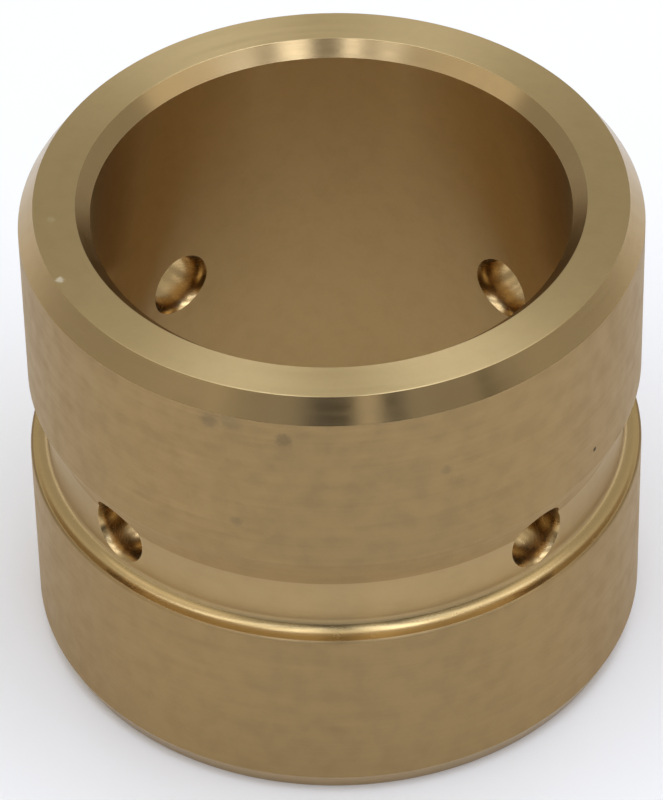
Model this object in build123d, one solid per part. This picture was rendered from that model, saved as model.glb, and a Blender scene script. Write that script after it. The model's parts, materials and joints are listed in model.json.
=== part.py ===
from build123d import *
import math
import os

# Bronze sleeve bushing, turned from one solid bar of bearing bronze.
# Frame: +Z up along the bore axis, origin at the centre of the bottom face, millimetres.
# Two oil holes lie either side of the front, -Y, and two either side of the back.

# Overall sizes
overall_length = 54.5
bore_diameter = 50.0
wall_thickness = 7.5

# Press collar: the lower, slightly larger stretch of the outside
collar_height = 22.2
collar_step = 0.25
collar_edge_radius = 0.35

# Oil groove round the outside, between the collar and the upper land
groove_length = 10.65
groove_depth = 1.75
groove_fillet_radius = 1.4
groove_taper_length = 4.25

# Edge breaks of the two ends
lead_in_length = 2.5
lead_in_depth = 1.65
foot_chamfer_length = 2.25
foot_chamfer_depth = 1.0
bore_chamfer = 1.5
edge_break = 0.12

# Oil holes: drilled square to the axis, countersunk at the groove and at the bore
oil_hole_count = 4
oil_hole_diameter = 6.0
oil_hole_above_collar = 4.8
oil_hole_first_angle = 45.0
countersink_width = 0.6
countersink_angle = 60.0

# How far a cutting tool runs past the surface that it cuts
tool_overrun = 2.0

# Radii and heights that follow from the sizes above
bore_radius = bore_diameter / 2
land_radius = bore_radius + wall_thickness
collar_radius = land_radius + collar_step
groove_radius = land_radius - groove_depth
land_bottom = collar_height + groove_length
oil_hole_height = collar_height + oil_hole_above_collar


def sleeve_outline():
    """Return the closed half section of the sleeve as a face in the XZ plane."""
    foot_edge = (collar_radius - foot_chamfer_depth, 0)
    foot_top = (collar_radius, foot_chamfer_length)
    collar_corner = (collar_radius, collar_height)
    groove_corner = (groove_radius, collar_height)
    taper_foot = (groove_radius, land_bottom - groove_taper_length)
    land_foot = (land_radius, land_bottom)
    lead_in_foot = (land_radius, overall_length - lead_in_length)
    lead_in_edge = (land_radius - lead_in_depth, overall_length)
    top_bore_edge = (bore_radius + bore_chamfer, overall_length)
    top_bore_foot = (bore_radius, overall_length - bore_chamfer)
    bottom_bore_top = (bore_radius, bore_chamfer)
    bottom_bore_edge = (bore_radius + bore_chamfer, 0)

    section = make_face(
        Polyline(
            foot_edge,
            foot_top,
            collar_corner,
            groove_corner,
            taper_foot,
            land_foot,
            lead_in_foot,
            lead_in_edge,
            top_bore_edge,
            top_bore_foot,
            bottom_bore_top,
            bottom_bore_edge,
            close=True,
        )
    )
    section = round_corner(section, collar_corner, collar_edge_radius)
    section = round_corner(section, groove_corner, groove_fillet_radius)
    collar_breaks = [foot_edge, foot_top, bottom_bore_edge]
    land_breaks = [land_foot, lead_in_foot, lead_in_edge, top_bore_edge]
    for corner in collar_breaks + land_breaks:
        section = round_corner(section, corner, edge_break)
    return Plane.XZ * section


def round_corner(section, corner, radius):
    """Return the half section with the corner at that point rounded to that radius."""
    nearest = section.vertices().sort_by_distance(Vector(*corner))[0]
    return fillet(nearest, radius)


def turned_sleeve():
    """Return the sleeve as it comes off the lathe, before its oil holes are drilled."""
    return revolve(sleeve_outline(), Axis.Z)


def oil_hole_tool():
    """Return the drill and both countersinks for one oil hole, pointing along +X."""
    hole_radius = oil_hole_diameter / 2
    countersink_slope = math.tan(math.radians(countersink_angle / 2))
    mouth_radius = hole_radius + countersink_width
    drill_start = bore_radius - tool_overrun
    drill_end = collar_radius + tool_overrun
    drill = Plane.YZ.offset(drill_start) * extrude(Circle(hole_radius), drill_end - drill_start)

    countersink_depth = countersink_width / countersink_slope
    outer_run = drill_end - groove_radius
    outer_cone = countersink_cone(
        groove_radius - countersink_depth,
        drill_end,
        hole_radius,
        mouth_radius + outer_run * countersink_slope,
    )
    inner_cone = countersink_cone(
        drill_start,
        bore_radius + countersink_depth,
        mouth_radius + tool_overrun * countersink_slope,
        hole_radius,
    )
    return drill + outer_cone + inner_cone


def countersink_cone(start, end, start_radius, end_radius):
    """Return a cone along +X, from one distance from the axis to another."""
    length = end - start
    cone = Cone(start_radius, end_radius, length, align=(Align.CENTER, Align.CENTER, Align.MIN))
    return Plane.YZ.offset(start) * cone


def oil_hole_tools():
    """Return the cutting tools of all the oil holes, evenly spaced round the sleeve."""
    tool = Pos(0, 0, oil_hole_height) * oil_hole_tool()
    pitch = 360 / oil_hole_count
    angles = [oil_hole_first_angle + pitch * index for index in range(oil_hole_count)]
    return [Rot(0, 0, angle) * tool for angle in angles]


def bushing_sleeve():
    """Return the finished one-piece bushing."""
    sleeve = turned_sleeve()
    for tool in oil_hole_tools():
        sleeve -= tool
    return sleeve


def main():
    os.makedirs("parts", exist_ok=True)
    sleeve = bushing_sleeve()
    sleeve.label = "bushing_sleeve"
    export_step(sleeve, "parts/bushing_sleeve.step")


main()
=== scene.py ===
"""Looks of a turned bronze sleeve bushing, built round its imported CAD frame."""

import json
import logging
import math
from dataclasses import dataclass
from enum import IntEnum
from typing import Any

import bmesh
import bpy
from mathutils import Matrix, Vector


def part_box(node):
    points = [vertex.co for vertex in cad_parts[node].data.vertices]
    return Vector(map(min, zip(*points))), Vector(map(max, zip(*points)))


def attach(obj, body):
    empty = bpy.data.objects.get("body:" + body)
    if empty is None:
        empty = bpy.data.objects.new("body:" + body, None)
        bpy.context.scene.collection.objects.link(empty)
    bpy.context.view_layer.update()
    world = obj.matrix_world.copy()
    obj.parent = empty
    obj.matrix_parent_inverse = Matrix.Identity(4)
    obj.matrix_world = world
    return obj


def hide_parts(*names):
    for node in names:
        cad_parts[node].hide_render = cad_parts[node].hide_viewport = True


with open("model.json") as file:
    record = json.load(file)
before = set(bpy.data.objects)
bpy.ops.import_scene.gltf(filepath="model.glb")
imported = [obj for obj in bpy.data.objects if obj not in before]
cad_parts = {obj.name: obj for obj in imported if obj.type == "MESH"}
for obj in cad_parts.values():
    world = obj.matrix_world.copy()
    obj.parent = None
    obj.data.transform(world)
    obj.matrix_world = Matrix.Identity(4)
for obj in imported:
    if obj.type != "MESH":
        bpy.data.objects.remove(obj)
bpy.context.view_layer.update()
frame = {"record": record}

log = logging.getLogger("bushing")

MM = 0.001
# Points closer than this, in metres, are one point
MERGE_DISTANCE = 1e-7
CAD_NODE = "bushing_sleeve"


class Zone(IntEnum):
    """The differently finished surfaces of the sleeve; the value is the material slot."""

    LAND = 0
    FACE = 1
    CHAMFER = 2
    GROOVE = 3
    SHOULDER = 4
    BORE = 5
    DRILLED = 6


# ---------------------------------------------------------------- node helpers


def linear(colour: str) -> tuple[float, float, float, float]:
    """Turn an sRGB hex colour into a linear colour.

    Args:
        colour: Six hex digits after a hash.

    Returns:
        Red, green, blue and an alpha of 1.
    """
    levels = [int(colour[i:i + 2], 16) / 255 for i in (1, 3, 5)]
    curve = [v / 12.92 if v <= 0.04045 else ((v + 0.055) / 1.055) ** 2.4 for v in levels]
    return curve[0], curve[1], curve[2], 1.0


def add_node(tree: bpy.types.NodeTree, kind: str, values: dict[Any, Any] | None = None,
             links: dict[Any, bpy.types.NodeSocket] | None = None, **settings: Any) -> bpy.types.Node:
    """Add one node with its settings, input values and links.

    Args:
        tree: The node tree.
        kind: The node's type name.
        values: Input name or number to its value.
        links: Input name or number to the socket that feeds it.
        **settings: Properties of the node itself, such as its operation.

    Returns:
        The new node.
    """
    made = tree.nodes.new(kind)
    for key, value in settings.items():
        setattr(made, key, value)
    for key, value in (values or {}).items():
        made.inputs[key].default_value = value
    for key, socket in (links or {}).items():
        tree.links.new(socket, made.inputs[key])
    return made


# ---------------------------------------------------------------- finishes


@dataclass(frozen=True)
class BronzeFinish:
    """One machined finish of tin bronze, bare metal with the default IOR.

    The alloy is a warm, slightly brown gold. The cutting tool leaves fine rings round the axis,
    which draw reflections out across them, into soft streaks along the sleeve. The ring pitch is
    drawn at 0.2 or 0.3 mm, coarser than a finishing cut of about 0.1 mm, so that it can show.

    Attributes:
        name: The material's name.
        colour: The clean metal; the land's is painted darker, as painted shade, and the bore's
            lighter, as painted bounce light.
        tarnish_colour: The metal that handling has dulled, shifted likewise in the land and the bore.
        tarnish: How much of that dulled colour its patches take, from 0 to 1.
        roughness: The middle of the roughness, which strays to both sides.
        anisotropy: How strongly the rings draw reflections out, from 0 to 1.
        ring_pitch_mm: How far apart the rings are drawn.
        ring_depth_mm: How deep the rings and the grain are.
        gloss_spread: How far the roughness strays either way, as a share of itself.
    """

    name: str
    colour: str
    tarnish_colour: str
    tarnish: float
    roughness: float
    anisotropy: float
    ring_pitch_mm: float
    ring_depth_mm: float
    gloss_spread: float


FINISHES: dict[Zone, BronzeFinish] = {
    # Fine turning on the outside: broad satin sheen, streaked upwards, with soft dull patches.
    # Both its colours are painted darker than the other outer zones, as painted shade for the dim room
    # these walls mirror
    Zone.LAND: BronzeFinish(
        name="bronze_fine_turned_land_painted_shade", colour="#AA8E61", tarnish_colour="#957B58",
        tarnish=0.15, roughness=0.44, anisotropy=0.9,
        ring_pitch_mm=0.3, ring_depth_mm=0.0003, gloss_spread=0.13,
    ),
    # Facing cut on the ends: pale satin whose streaks fan out from the axis
    Zone.FACE: BronzeFinish(
        name="bronze_faced_end", colour="#BFA675", tarnish_colour="#AF9767",
        tarnish=0.15, roughness=0.34, anisotropy=0.9,
        ring_pitch_mm=0.3, ring_depth_mm=0.0003, gloss_spread=0.12,
    ),
    # Form-tool chamfers: smoother, so lamps show in them as separate bright bars
    Zone.CHAMFER: BronzeFinish(
        name="bronze_turned_chamfer", colour="#B29668", tarnish_colour="#9F885F",
        tarnish=0.1, roughness=0.23, anisotropy=0.65,
        ring_pitch_mm=0.3, ring_depth_mm=0.0002, gloss_spread=0.12,
    ),
    # Plunge-cut groove: a clean, slightly yellower satin
    Zone.GROOVE: BronzeFinish(
        name="bronze_turned_groove", colour="#B89E72", tarnish_colour="#A88E62",
        tarnish=0.12, roughness=0.34, anisotropy=0.8,
        ring_pitch_mm=0.3, ring_depth_mm=0.0002, gloss_spread=0.12,
    ),
    # Fillet burnished by the nose of the tool: the brightest line on the sleeve
    Zone.SHOULDER: BronzeFinish(
        name="bronze_burnished_fillet", colour="#C6A974", tarnish_colour="#AE9158",
        tarnish=0.1, roughness=0.26, anisotropy=0.6,
        ring_pitch_mm=0.2, ring_depth_mm=0.0001, gloss_spread=0.08,
    ),
    # Fine-bored running surface: smooth, and darker and redder where it mirrors itself.
    # Its colours are painted lighter than the outside's, as painted light for the light bouncing round
    # the bore
    Zone.BORE: BronzeFinish(
        name="bronze_bored_bore_painted_bounce_light", colour="#CBAF7B", tarnish_colour="#B39665",
        tarnish=0.15, roughness=0.30, anisotropy=0.8,
        ring_pitch_mm=0.3, ring_depth_mm=0.00003, gloss_spread=0.06,
    ),
    # Drilled wall: glossy but uneven, with brown remains of oil
    Zone.DRILLED: BronzeFinish(
        name="bronze_drilled_hole", colour="#C4A673", tarnish_colour="#96794F",
        tarnish=0.25, roughness=0.26, anisotropy=0.3,
        ring_pitch_mm=0.3, ring_depth_mm=0.0003, gloss_spread=0.2,
    ),
}


@dataclass(frozen=True)
class Mark:
    """A nick, speck or stain left by handling: a soft spot with an uneven edge.

    Its place is an angle in degrees, from +X round the bore's axis, with a radius and a height.
    It is full up to the first share of its size and gone at the second.
    """

    angle: float
    radius_mm: float
    height_mm: float
    size_mm: float
    colour: str
    strength: float
    full_share: float = 0.8
    gone_share: float = 1.5

    def add(self, tree: bpy.types.NodeTree, place: bpy.types.NodeSocket, grain: bpy.types.NodeSocket,
            under: bpy.types.NodeSocket) -> bpy.types.NodeSocket:
        """Paint the mark over the metal.

        Args:
            tree: The node tree.
            place: The point on the object.
            grain: The fine noise that frays the mark's edge.
            under: The colour under the mark.

        Returns:
            The colour with the mark on it.
        """
        turn, size = math.radians(self.angle), self.size_mm * MM
        middle = (self.radius_mm * math.cos(turn) * MM, self.radius_mm * math.sin(turn) * MM,
                  self.height_mm * MM)
        away = add_node(tree, "ShaderNodeVectorMath", {1: middle}, {0: place}, operation="DISTANCE")
        frayed = add_node(tree, "ShaderNodeMath", {1: size}, {0: grain, 2: away.outputs["Value"]},
                          operation="MULTIPLY_ADD")
        cover = add_node(tree, "ShaderNodeMapRange",
                         {"From Min": size * self.full_share, "From Max": size * self.gone_share,
                          "To Min": self.strength, "To Max": 0.0},
                         {"Value": frayed.outputs[0]}, interpolation_type="SMOOTHSTEP")
        mix = add_node(tree, "ShaderNodeMix", {7: linear(self.colour)},
                       {"Factor": cover.outputs[0], 6: under}, data_type="RGBA")
        return mix.outputs[2]


MARKS: dict[Zone, tuple[Mark, ...]] = {
    Zone.FACE: (
        # A nick that shows bare metal, and the dull end of a scratch across the face
        Mark(angle=-153.3, radius_mm=30.3, height_mm=54.5, size_mm=0.6, colour="#F4E6C8", strength=0.9),
        Mark(angle=-171.8, radius_mm=29.0, height_mm=54.5, size_mm=0.6, colour="#D8C59A", strength=0.35),
    ),
    Zone.LAND: (
        # A dark speck, then grey stains, as fingers and oil leave them
        Mark(angle=-32.2, radius_mm=32.5, height_mm=35.5, size_mm=0.35, colour="#2E2117", strength=0.95),
        Mark(angle=-109.8, radius_mm=32.5, height_mm=50.9, size_mm=1.4, colour="#7A6B52", strength=0.45),
        Mark(angle=-106.0, radius_mm=32.5, height_mm=51.3, size_mm=1.5, colour="#7A6B52", strength=0.35),
        Mark(angle=-96.5, radius_mm=32.5, height_mm=49.9, size_mm=1.2, colour="#6F6049", strength=0.5),
        Mark(angle=-105.6, radius_mm=32.5, height_mm=37.8, size_mm=0.9, colour="#7A6B52", strength=0.35),
        Mark(angle=-67.3, radius_mm=32.5, height_mm=44.0, size_mm=0.8, colour="#7A6B52", strength=0.35),
    ),
}


@dataclass(frozen=True)
class BronzeMaterial:
    """Builds the node material of one bronze finish.

    The metal's own grain is some hundredths of a millimetre, and is drawn at about half a
    millimetre so that it can show. The tarnish lies in patches of a few millimetres.
    """

    finish: BronzeFinish
    marks: tuple[Mark, ...] = ()
    # Along the slope of the faces and chamfers the ring pattern follows the height plus this share
    # of the radius, so that no surface of the sleeve runs level with the pattern
    radius_share: float = 0.618
    # How far the ring pattern drifts going once round, in pattern units
    drift: float = 1.6
    ring_detail: float = 2.0
    mottle_mm: float = 2.2
    mottle_detail: float = 5.0
    grain_mm: float = 0.45
    grain_detail: float = 3.0
    # Noise levels between which the tarnished patches come in, and the specks between them
    patch_levels: tuple[float, float] = (0.42, 0.68)
    speck_levels: tuple[float, float] = (0.35, 0.75)
    # How much of the tarnish a speck takes
    speck_share: float = 0.6
    # The usual range of the two noises that the gloss follows, added up
    gloss_levels: tuple[float, float] = (0.7, 1.3)

    def build(self) -> bpy.types.Material:
        """Build the material.

        Returns:
            The new material.
        """
        finish = self.finish
        material = bpy.data.materials.new(finish.name)
        material.use_nodes = True
        tree = material.node_tree
        tree.nodes.clear()
        place = add_node(tree, "ShaderNodeTexCoord").outputs["Object"]
        around, along = self._lathe_coordinates(tree, place)
        rings = self._rings(tree, around, along)
        grain = self._noise(tree, place, self.grain_mm, self.grain_detail)
        mottle = self._noise(tree, place, self.mottle_mm, self.mottle_detail)

        colour = self._colour(tree, mottle, grain)
        for mark in self.marks:
            colour = mark.add(tree, place, grain, colour)
        roughness = self._roughness(tree, rings, mottle)
        bump = self._bump(tree, rings, grain)
        shader = add_node(
            tree,
            "ShaderNodeBsdfPrincipled",
            values={
                "Metallic": 1.0,
                "Anisotropic": finish.anisotropy,
                # A quarter turn, so that the streak runs across the rings
                "Anisotropic Rotation": 0.25,
            },
            links={"Base Color": colour, "Roughness": roughness, "Normal": bump, "Tangent": around},
        )
        add_node(tree, "ShaderNodeOutputMaterial", links={"Surface": shader.outputs[0]})
        return material

    def _lathe_coordinates(self, tree: bpy.types.NodeTree, place: bpy.types.NodeSocket
                           ) -> tuple[bpy.types.NodeSocket, bpy.types.NodeSocket]:
        """Add the nodes that follow the turning.

        Args:
            tree: The node tree.
            place: The point on the object.

        Returns:
            The direction that the cut ran in, round the axis, and the distance across the rings.
        """
        outward = add_node(tree, "ShaderNodeVectorMath", {1: (1, 1, 0)}, {0: place}, operation="MULTIPLY")
        radius = add_node(tree, "ShaderNodeVectorMath", links={0: outward.outputs[0]}, operation="LENGTH")
        around = add_node(tree, "ShaderNodeVectorMath", {0: (0, 0, 1)}, {1: outward.outputs[0]},
                          operation="CROSS_PRODUCT")
        direction = add_node(tree, "ShaderNodeVectorMath", links={0: around.outputs[0]},
                             operation="NORMALIZE")
        height = add_node(tree, "ShaderNodeSeparateXYZ", links={0: place}).outputs["Z"]
        along = add_node(tree, "ShaderNodeMath", {1: self.radius_share},
                         {0: radius.outputs["Value"], 2: height}, operation="MULTIPLY_ADD")
        return direction.outputs[0], along.outputs[0]

    def _rings(self, tree: bpy.types.NodeTree, around: bpy.types.NodeSocket,
               along: bpy.types.NodeSocket) -> bpy.types.NodeSocket:
        """Add the tool's rings: a noise that changes fast across the cut and slowly along it.

        Args:
            tree: The node tree.
            around: The direction that the cut ran in.
            along: The distance across the rings.

        Returns:
            The ring pattern, about 0.5 on average.
        """
        step = add_node(tree, "ShaderNodeMath", {1: 1 / (self.finish.ring_pitch_mm * MM)},
                        {0: along}, operation="MULTIPLY")
        lift = add_node(tree, "ShaderNodeCombineXYZ", links={"Z": step.outputs[0]})
        spread = add_node(tree, "ShaderNodeVectorMath", {1: (self.drift,) * 3},
                          {0: around, 2: lift.outputs[0]}, operation="MULTIPLY_ADD")
        noise = add_node(tree, "ShaderNodeTexNoise", {"Scale": 1.0, "Detail": self.ring_detail},
                         {"Vector": spread.outputs[0]})
        return noise.outputs["Fac"]

    def _noise(self, tree: bpy.types.NodeTree, place: bpy.types.NodeSocket, size_mm: float,
               detail: float) -> bpy.types.NodeSocket:
        """Add an even noise whose blotches are about the given size.

        Args:
            tree: The node tree.
            place: The point on the object.
            size_mm: The size of a blotch.
            detail: How many finer layers lie in it.

        Returns:
            The noise, about 0.5 on average.
        """
        noise = add_node(tree, "ShaderNodeTexNoise", {"Scale": 1 / (size_mm * MM), "Detail": detail},
                         {"Vector": place})
        return noise.outputs["Fac"]

    def _colour(self, tree: bpy.types.NodeTree, mottle: bpy.types.NodeSocket,
                grain: bpy.types.NodeSocket) -> bpy.types.NodeSocket:
        """Mix fresh metal and its faint handling tarnish.

        Args:
            tree: The node tree.
            mottle: The noise of the tarnish's patches.
            grain: The fine noise of the specks.

        Returns:
            The metal's colour.
        """
        patch_start, patch_full = self.patch_levels
        speck_start, speck_full = self.speck_levels
        tarnish = self.finish.tarnish
        patches = add_node(tree, "ShaderNodeMapRange",
                           {"From Min": patch_start, "From Max": patch_full, "To Max": tarnish},
                           {"Value": mottle}, interpolation_type="SMOOTHSTEP")
        specks = add_node(tree, "ShaderNodeMapRange",
                          {"From Min": speck_start, "From Max": speck_full,
                           "To Max": tarnish * self.speck_share},
                          {"Value": grain})
        amount = add_node(tree, "ShaderNodeMath", links={0: patches.outputs[0], 1: specks.outputs[0]},
                          operation="ADD", use_clamp=True)
        mix = add_node(tree, "ShaderNodeMix", links={"Factor": amount.outputs[0]}, data_type="RGBA")
        mix.inputs[6].default_value = linear(self.finish.colour)
        mix.inputs[7].default_value = linear(self.finish.tarnish_colour)
        return mix.outputs[2]

    def _roughness(self, tree: bpy.types.NodeTree, rings: bpy.types.NodeSocket,
                   mottle: bpy.types.NodeSocket) -> bpy.types.NodeSocket:
        """Vary the gloss a little from ring to ring and over the tarnish.

        Args:
            tree: The node tree.
            rings: The ring pattern.
            mottle: The noise of the tarnish's patches.

        Returns:
            The roughness.
        """
        both = add_node(tree, "ShaderNodeMath", links={0: rings, 1: mottle}, operation="ADD")
        low, high = self.gloss_levels
        middle = self.finish.roughness
        spread = middle * self.finish.gloss_spread
        gloss = add_node(tree, "ShaderNodeMapRange",
                         {"From Min": low, "From Max": high, "To Min": middle - spread,
                          "To Max": middle + spread},
                         {"Value": both.outputs[0]})
        return gloss.outputs[0]

    def _bump(self, tree: bpy.types.NodeTree, rings: bpy.types.NodeSocket,
              grain: bpy.types.NodeSocket) -> bpy.types.NodeSocket:
        """Raise the rings and the grain by less than a micrometre.

        Args:
            tree: The node tree.
            rings: The ring pattern.
            grain: The fine noise.

        Returns:
            The bent normal.
        """
        depth = {"Strength": 1.0, "Distance": self.finish.ring_depth_mm * MM}
        ring_bump = add_node(tree, "ShaderNodeBump", depth, {"Height": rings})
        grain_bump = add_node(tree, "ShaderNodeBump", depth,
                              {"Height": grain, "Normal": ring_bump.outputs[0]})
        return grain_bump.outputs[0]


# ---------------------------------------------------------------- the sleeve


def rounded_outline(corners: list[tuple[float, float, float]], segments: int) -> bmesh.types.BMesh:
    """Draw a closed outline in the XZ plane and round its corners.

    Args:
        corners: Radius, height and rounding radius of each corner, in order.
        segments: Straight pieces in each rounded corner.

    Returns:
        A bmesh that holds the outline as a loop of edges.
    """
    outline = bmesh.new()
    points = [outline.verts.new((radius, 0, height)) for radius, height, _ in corners]
    for first, second in zip(points, points[1:] + points[:1]):
        outline.edges.new((first, second))
    for point, (_, _, rounding) in zip(points, corners):
        if rounding:
            arms = [edge.other_vert(point).co - point.co for edge in point.link_edges]
            reach = rounding / math.tan(arms[0].angle(arms[1]) / 2)
            bmesh.ops.bevel(outline, geom=[point], offset=reach, offset_type="OFFSET",
                            segments=segments, profile=0.5, affect="VERTICES", material=-1)
    return outline


def finished_object(name: str, mesh: bmesh.types.BMesh, materials: list[bpy.types.Material]
                    ) -> bpy.types.Object:
    """Turn a bmesh into an object at the origin, with its normals outward.

    Args:
        name: The object's name.
        mesh: The shape; it is freed.
        materials: The material slots, in order.

    Returns:
        The new object, linked to the scene.
    """
    bmesh.ops.remove_doubles(mesh, verts=mesh.verts, dist=MERGE_DISTANCE)
    bmesh.ops.recalc_face_normals(mesh, faces=mesh.faces)
    data = bpy.data.meshes.new(name)
    mesh.to_mesh(data)
    mesh.free()
    for material in materials:
        data.materials.append(material)
    made = bpy.data.objects.new(name, data)
    bpy.context.scene.collection.objects.link(made)
    return made


@dataclass
class OilHole:
    """The cutting shape of one radial oil hole: a drill with a countersink at each mouth.

    Sizes are metres. The overrun is how far the cutter runs past the surfaces that it cuts.
    """

    groove_radius: float
    bore_radius: float
    height: float
    radius: float = 3.0 * MM
    countersink_width: float = 0.6 * MM
    countersink_angle: float = math.radians(60)
    overrun: float = 5.0 * MM
    segments: int = 96

    def cutter(self, angle: float) -> bpy.types.Object:
        """Build the cutter.

        Args:
            angle: Where the hole lies round the axis, in radians.

        Returns:
            The cutter as an object, which the caller removes.
        """
        slope = math.tan(self.countersink_angle / 2)
        depth = self.countersink_width / slope
        wide = self.radius + self.countersink_width + self.overrun * slope
        outline = [
            (self.bore_radius - self.overrun, 0),
            (self.bore_radius - self.overrun, wide),
            (self.bore_radius + depth, self.radius),
            (self.groove_radius - depth, self.radius),
            (self.groove_radius + self.overrun, wide),
            (self.groove_radius + self.overrun, 0),
        ]
        shape = bmesh.new()
        points = [shape.verts.new((x, 0, z)) for x, z in outline]
        edges = [shape.edges.new(pair) for pair in zip(points, points[1:])]
        bmesh.ops.spin(shape, geom=points + edges, cent=(0, 0, 0), axis=(1, 0, 0), dvec=(0, 0, 0),
                       angle=math.tau, steps=self.segments, use_merge=True, use_duplicate=False)
        place = Matrix.Translation((0, 0, self.height))
        bmesh.ops.transform(shape, matrix=Matrix.Rotation(angle, 4, "Z") @ place, verts=shape.verts)
        for face in shape.faces:
            face.material_index = Zone.DRILLED
        return finished_object("oil_hole_cutter", shape, [])


@dataclass
class Sleeve:
    """The one-piece bushing; sizes in metres, hole angles in degrees from +X."""

    length: float
    collar_radius: float
    land_radius: float
    bore_radius: float
    collar_height: float = 22.2 * MM
    groove_length: float = 10.65 * MM
    groove_depth: float = 1.75 * MM
    groove_taper: float = 4.25 * MM
    groove_fillet: float = 1.4 * MM
    collar_edge: float = 0.35 * MM
    lead_in_length: float = 2.5 * MM
    lead_in_depth: float = 1.65 * MM
    foot_length: float = 2.25 * MM
    foot_depth: float = 1.0 * MM
    bore_chamfer: float = 1.5 * MM
    edge_break: float = 0.12 * MM
    hole_above_collar: float = 4.8 * MM
    hole_angles: tuple[float, ...] = (45, 135, 225, 315)
    turns: int = 360
    corner_segments: int = 10
    # Edges bent by more than this stay crisp
    crisp_angle: float = math.radians(32)
    # How far large flat faces win over small ones in the shading, from 1 to 100
    flat_weight: int = 80

    @classmethod
    def from_frame(cls) -> "Sleeve":
        """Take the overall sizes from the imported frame.

        Returns:
            The sleeve, with its other sizes as they are by default.
        """
        low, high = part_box(CAD_NODE)
        mounts = frame["record"]["mounts"]
        radii = {mount["name"]: mount["dims"].get("r_mm", 0) * MM for mount in mounts}
        return cls(length=high.z - low.z, collar_radius=radii["press_collar"],
                   land_radius=radii["upper_land"], bore_radius=radii["shaft_bore"])

    @property
    def groove_radius(self) -> float:
        """Radius of the groove's floor."""
        return self.land_radius - self.groove_depth

    @property
    def land_bottom(self) -> float:
        """Height at which the upper land starts."""
        return self.collar_height + self.groove_length

    def build(self, materials: list[bpy.types.Material]) -> bpy.types.Object:
        """Turn the sleeve, drill it and dress it.

        Args:
            materials: One material for each zone.

        Returns:
            The finished piece.
        """
        sleeve = self._turned(materials)
        hole = OilHole(self.groove_radius, self.bore_radius, self.collar_height + self.hole_above_collar)
        cutters = [hole.cutter(math.radians(angle)) for angle in self.hole_angles]
        self._drill(sleeve, cutters)
        self._shade(sleeve)
        return sleeve

    def _corners(self) -> list[tuple[float, float, float]]:
        """List the corners of the half section.

        Returns:
            Radius, height and rounding radius of each corner, in order.
        """
        collar, land = self.collar_radius, self.land_radius
        bore, groove = self.bore_radius, self.groove_radius
        top, small = self.length, self.edge_break
        return [
            (collar - self.foot_depth, 0, small),
            (collar, self.foot_length, small),
            (collar, self.collar_height, self.collar_edge),
            (groove, self.collar_height, self.groove_fillet),
            (groove, self.land_bottom - self.groove_taper, 0),
            (land, self.land_bottom, small),
            (land, top - self.lead_in_length, small),
            (land - self.lead_in_depth, top, small),
            (bore + self.bore_chamfer, top, small),
            (bore, top - self.bore_chamfer, 0),
            (bore, self.bore_chamfer, 0),
            (bore + self.bore_chamfer, 0, small),
        ]

    def _turned(self, materials: list[bpy.types.Material]) -> bpy.types.Object:
        """Spin the outline into the sleeve, and give each surface its zone.

        Args:
            materials: One material for each zone.

        Returns:
            The sleeve without its holes.
        """
        shape = rounded_outline(self._corners(), self.corner_segments)
        bmesh.ops.spin(shape, geom=shape.verts[:] + shape.edges[:], cent=(0, 0, 0), axis=(0, 0, 1),
                       dvec=(0, 0, 0), angle=math.tau, steps=self.turns, use_merge=True,
                       use_duplicate=False)
        for face in shape.faces:
            face.material_index = self._zone(face.calc_center_median())
        return finished_object(CAD_NODE + "_turned", shape, materials)

    def _zone(self, point: Vector) -> Zone:
        """Say which finished surface a point of the turned sleeve lies on.

        Args:
            point: The middle of a face.

        Returns:
            The surface's zone.
        """
        radius, near = math.hypot(point.x, point.y), self.edge_break / 2
        if radius < self.bore_radius + near:
            return Zone.BORE
        if point.z > self.length - near or point.z < near:
            return Zone.FACE
        if point.z > self.length - self.lead_in_length or point.z < self.foot_length:
            return Zone.CHAMFER
        if point.z > self.land_bottom - self.groove_taper:
            return Zone.LAND
        if point.z > self.collar_height + self.groove_fillet / 2:
            return Zone.GROOVE
        on_fillet = point.z > self.collar_height - near and radius < self.land_radius
        return Zone.SHOULDER if on_fillet else Zone.LAND

    def _drill(self, sleeve: bpy.types.Object, cutters: list[bpy.types.Object]) -> None:
        """Cut the oil holes and remove the cutters.

        Args:
            sleeve: The sleeve, which is changed.
            cutters: One cutter for each hole.
        """
        for cutter in cutters:
            cut = sleeve.modifiers.new("oil_hole", "BOOLEAN")
            cut.operation, cut.solver, cut.object = "DIFFERENCE", "EXACT", cutter
            cut.material_mode = "INDEX"
        bpy.context.view_layer.update()
        evaluated = sleeve.evaluated_get(bpy.context.evaluated_depsgraph_get())
        drilled = bpy.data.meshes.new_from_object(evaluated)
        sleeve.modifiers.clear()
        sleeve.data = drilled
        for cutter in cutters:
            bpy.data.objects.remove(cutter)

    def _shade(self, sleeve: bpy.types.Object) -> None:
        """Shade smoothly, with crisp mouths on the oil holes and flat runs that stay flat.

        Args:
            sleeve: The sleeve, which is changed.
        """
        mesh = bmesh.new()
        mesh.from_mesh(sleeve.data)
        for face in mesh.faces:
            face.smooth = True
        for edge in mesh.edges:
            edge.smooth = edge.calc_face_angle(0) < self.crisp_angle
        mesh.to_mesh(sleeve.data)
        mesh.free()
        weighted = sleeve.modifiers.new("flat_runs", "WEIGHTED_NORMAL")
        weighted.mode, weighted.weight, weighted.keep_sharp = "FACE_AREA", self.flat_weight, True


# ---------------------------------------------------------------- the studio


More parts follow.
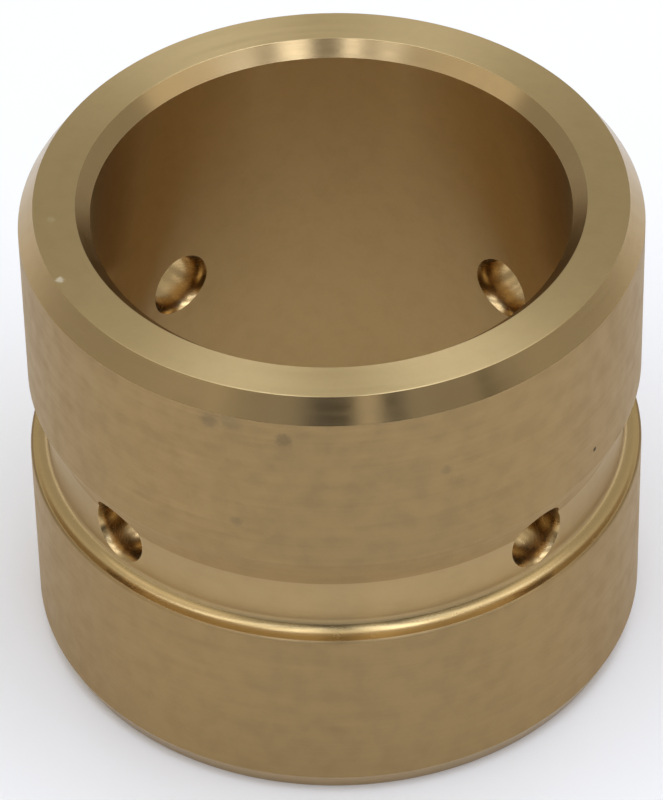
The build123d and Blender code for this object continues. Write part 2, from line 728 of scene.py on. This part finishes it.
@dataclass(frozen=True)
class CeilingStrip:
    """One row of soft ceiling lights that runs from behind the object to above the camera.

    Sizes are metres: how far right of the object it hangs, and where it starts and ends along the
    line from the camera's side, negative, to the far side.
    """

    name: str
    side: float
    width: float
    brightness: float
    near_end: float = -1.9
    far_end: float = 0.4
    height: float = 1.5
    colour: str = "#D8E4FF"

    def build(self, front: float) -> bpy.types.Object:
        """Add the lamp, facing down.

        Args:
            front: The camera's azimuth, in degrees.

        Returns:
            The lamp.
        """
        middle, length = (self.near_end + self.far_end) / 2, self.far_end - self.near_end
        turn = Matrix.Rotation(math.radians(front), 4, "Z")
        place = turn @ Matrix.Translation((self.side, middle, self.height))
        return area_lamp(self.name, place, self.width, length, self.brightness, self.colour)


@dataclass(frozen=True)
class SidePanel:
    """One soft panel, seen from the object under the given angles, in degrees.

    Azimuth 0 is the camera's own side and positive is to its right. The distance is in metres.
    """

    name: str
    azimuth: float
    elevation: float
    wide: float
    tall: float
    brightness: float
    colour: str = "#FFFFFF"
    distance: float = 1.5

    def build(self, front: float) -> bpy.types.Object:
        """Add the lamp, turned to the object.

        Args:
            front: The camera's azimuth, in degrees.

        Returns:
            The lamp.
        """
        width, height = (2 * self.distance * math.tan(math.radians(angle) / 2)
                         for angle in (self.wide, self.tall))
        away = from_angles(self.azimuth + front, self.elevation)
        place = Matrix.Translation(away * self.distance) @ (
            away.to_track_quat("Z", "Y").to_matrix().to_4x4())
        return area_lamp(self.name, place, width, height, self.brightness, self.colour)


def area_lamp(name: str, place: Matrix, width: float, height: float, brightness: float,
              colour: str) -> bpy.types.Object:
    """Add a rectangular lamp whose surface has the given brightness, whatever its size.

    Args:
        name: The lamp's name.
        place: Its place; it shines along its own -Z.
        width: Size along its X, in metres.
        height: Size along its Y, in metres.
        brightness: How bright its surface looks.
        colour: Its colour.

    Returns:
        The lamp.
    """
    lamp = bpy.data.lights.new(name, "AREA")
    lamp.shape, lamp.size, lamp.size_y = "RECTANGLE", width, height
    lamp.energy = brightness * math.pi * width * height
    lamp.color = linear(colour)[:3]
    made = bpy.data.objects.new(name, lamp)
    bpy.context.scene.collection.objects.link(made)
    made.matrix_world = place
    return made


def from_angles(azimuth: float, elevation: float) -> Vector:
    """Turn an azimuth and an elevation into a direction away from the object.

    Args:
        azimuth: Degrees round the object; 0 is the front, -Y, and 90 is +X.
        elevation: Degrees above the floor.

    Returns:
        The direction, of length 1.
    """
    turn, rise = math.radians(azimuth), math.radians(elevation)
    return Vector((math.sin(turn) * math.cos(rise), -math.cos(turn) * math.cos(rise), math.sin(rise)))


@dataclass(frozen=True)
class Glow:
    """A soft patch of the room round one direction; a negative gain makes it a dark patch.

    Azimuth 0 is the camera's own side and positive is to its right. The patch is full inside the
    inner angle and fades away to the outer angle. All angles are degrees.
    """

    azimuth: float
    elevation: float
    inner: float
    outer: float
    gain: float

    def add(self, tree: bpy.types.NodeTree, look: bpy.types.NodeSocket, front: float
            ) -> bpy.types.NodeSocket:
        """Add the patch's nodes.

        Args:
            tree: The world's node tree.
            look: The direction looked at, from the point that the room lights.
            front: The camera's azimuth, in degrees.

        Returns:
            What the patch adds to the room's brightness.
        """
        towards = from_angles(self.azimuth + front, self.elevation)
        near = add_node(tree, "ShaderNodeVectorMath", {1: towards}, {0: look}, operation="DOT_PRODUCT")
        edges = {"From Min": math.cos(math.radians(self.outer)),
                 "From Max": math.cos(math.radians(self.inner)), "To Max": self.gain}
        patch = add_node(tree, "ShaderNodeMapRange", edges, {"Value": near.outputs["Value"]},
                         interpolation_type="SMOOTHSTEP")
        return patch.outputs[0]


@dataclass(frozen=True)
class Room:
    """The room round the table: dim walls, a pale ceiling, and darkness on the camera's side."""

    colour: str = "#FFFFFF"
    wall: float = 0.50
    ceiling: Glow = Glow(azimuth=180, elevation=84, inner=20, outer=50, gain=0.35)
    camera_side: Glow = Glow(azimuth=8, elevation=12, inner=26, outer=62, gain=-0.45)

    def build(self, front: float) -> None:
        """Set the room as the scene's world.

        Args:
            front: The camera's azimuth, in degrees.
        """
        world = bpy.data.worlds.new("studio_room")
        world.use_nodes = True
        tree = world.node_tree
        tree.nodes.clear()
        look = add_node(tree, "ShaderNodeTexCoord").outputs["Generated"]
        patches = [glow.add(tree, look, front) for glow in (self.ceiling, self.camera_side)]
        both = add_node(tree, "ShaderNodeMath", links={0: patches[0], 1: patches[1]}, operation="ADD")
        strength = add_node(tree, "ShaderNodeMath", {1: self.wall}, {0: both.outputs[0]}, operation="ADD")
        background = add_node(tree, "ShaderNodeBackground", {"Color": linear(self.colour)},
                              {"Strength": strength.outputs[0]})
        add_node(tree, "ShaderNodeOutputWorld", links={"Surface": background.outputs[0]})
        bpy.context.scene.world = world


@dataclass
class Studio:
    """A pale floor, a plain room, soft lamps and the camera.

    Angles are degrees and lengths metres, apart from the lens, which is in millimetres.
    """

    camera_azimuth: float = 2.9
    camera_elevation: float = 42.02
    camera_roll: float = 1.233
    camera_distance: float = 0.5733
    aim_height: float = 26.26 * MM
    aim_side: float = -0.41 * MM
    lens: float = 241.55
    nearest_seen: float = 0.01
    farthest_seen: float = 10.0
    floor_size: float = 3.0
    paper_colours: tuple[str, str] = ("#FEFBF4", "#FCF9F2")
    paper_roughness: float = 0.9
    paper_patch_mm: float = 50.0
    room: Room = Room()
    lamps: tuple[CeilingStrip | SidePanel, ...] = (
        CeilingStrip("right_strip", side=0.35, width=0.30, brightness=3.8, far_end=0.9),
        CeilingStrip("left_strip", side=-0.25, width=0.16, brightness=4.0, far_end=0.9),
        SidePanel("front_panel", azimuth=11, elevation=26, wide=8, tall=14, brightness=0.9),
        SidePanel("front_left_panel", azimuth=-27, elevation=26, wide=30, tall=18, brightness=0.4),
        SidePanel("front_right_panel", azimuth=36, elevation=26, wide=24, tall=18, brightness=0.4),
        CeilingStrip("far_left_strip", side=-0.64, width=0.20, brightness=2.8),
        CeilingStrip("far_right_strip", side=0.94, width=0.40, brightness=2.0),
        SidePanel("left_panel", azimuth=-68, elevation=38, wide=44, tall=22, brightness=0.6),
        SidePanel("right_panel", azimuth=72, elevation=38, wide=30, tall=22, brightness=0.6),
    )

    def build(self) -> None:
        """Add everything round the object."""
        self._floor()
        self.room.build(self.camera_azimuth)
        for lamp in self.lamps:
            lamp.build(self.camera_azimuth)
            log.info("lamp %s", lamp.name)
        self._camera()

    def _floor(self) -> None:
        """Lay the pale floor that the sleeve stands on."""
        shape = bmesh.new()
        bmesh.ops.create_grid(shape, x_segments=1, y_segments=1, size=self.floor_size / 2)
        floor = finished_object("studio_floor", shape, [self._floor_paint()])

    def _floor_paint(self) -> bpy.types.Material:
        """Make the floor's material: matt white paper, which shows as a soft, even, warm white.

        Returns:
            The new material.
        """
        material = bpy.data.materials.new("paper_matt_white")
        material.use_nodes = True
        tree = material.node_tree
        tree.nodes.clear()
        place = add_node(tree, "ShaderNodeTexCoord").outputs["Object"]
        noise = add_node(tree, "ShaderNodeTexNoise", {"Scale": 1 / (self.paper_patch_mm * MM)},
                         {"Vector": place})
        light, dark = (linear(colour) for colour in self.paper_colours)
        shade = add_node(tree, "ShaderNodeMix", {6: light, 7: dark},
                         {"Factor": noise.outputs["Fac"]}, data_type="RGBA")
        shader = add_node(tree, "ShaderNodeBsdfPrincipled", {"Roughness": self.paper_roughness},
                          {"Base Color": shade.outputs[2]})
        add_node(tree, "ShaderNodeOutputMaterial", links={"Surface": shader.outputs[0]})
        return material

    def _camera(self) -> None:
        """Add the camera at its place, looking down at the sleeve."""
        target = Vector((0, 0, self.aim_height))
        back = from_angles(self.camera_azimuth, self.camera_elevation)
        sideways = from_angles(self.camera_azimuth + 90, 0)
        data = bpy.data.cameras.new("studio_camera")
        data.lens = self.lens
        data.clip_start, data.clip_end = self.nearest_seen, self.farthest_seen
        camera = bpy.data.objects.new("studio_camera", data)
        bpy.context.scene.collection.objects.link(camera)
        camera.location = target + sideways * self.aim_side + back * self.camera_distance
        level = back.to_track_quat("Z", "Y").to_matrix().to_4x4()
        roll = Matrix.Rotation(math.radians(-self.camera_roll), 4, "Z")
        camera.rotation_euler = (level @ roll).to_euler()
        bpy.context.scene.camera = camera


def main() -> None:
    """Build the sleeve and the studio."""
    logging.basicConfig(level=logging.INFO)
    materials = [BronzeMaterial(FINISHES[zone], MARKS.get(zone, ())).build() for zone in Zone]
    sleeve = Sleeve.from_frame().build(materials)
    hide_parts(CAD_NODE)
    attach(sleeve, "root")
    log.info("%s: %d faces", sleeve.name, len(sleeve.data.polygons))
    Studio().build()
    bpy.context.scene.view_settings.view_transform = "Standard"


if __name__ == "__main__":
    main()
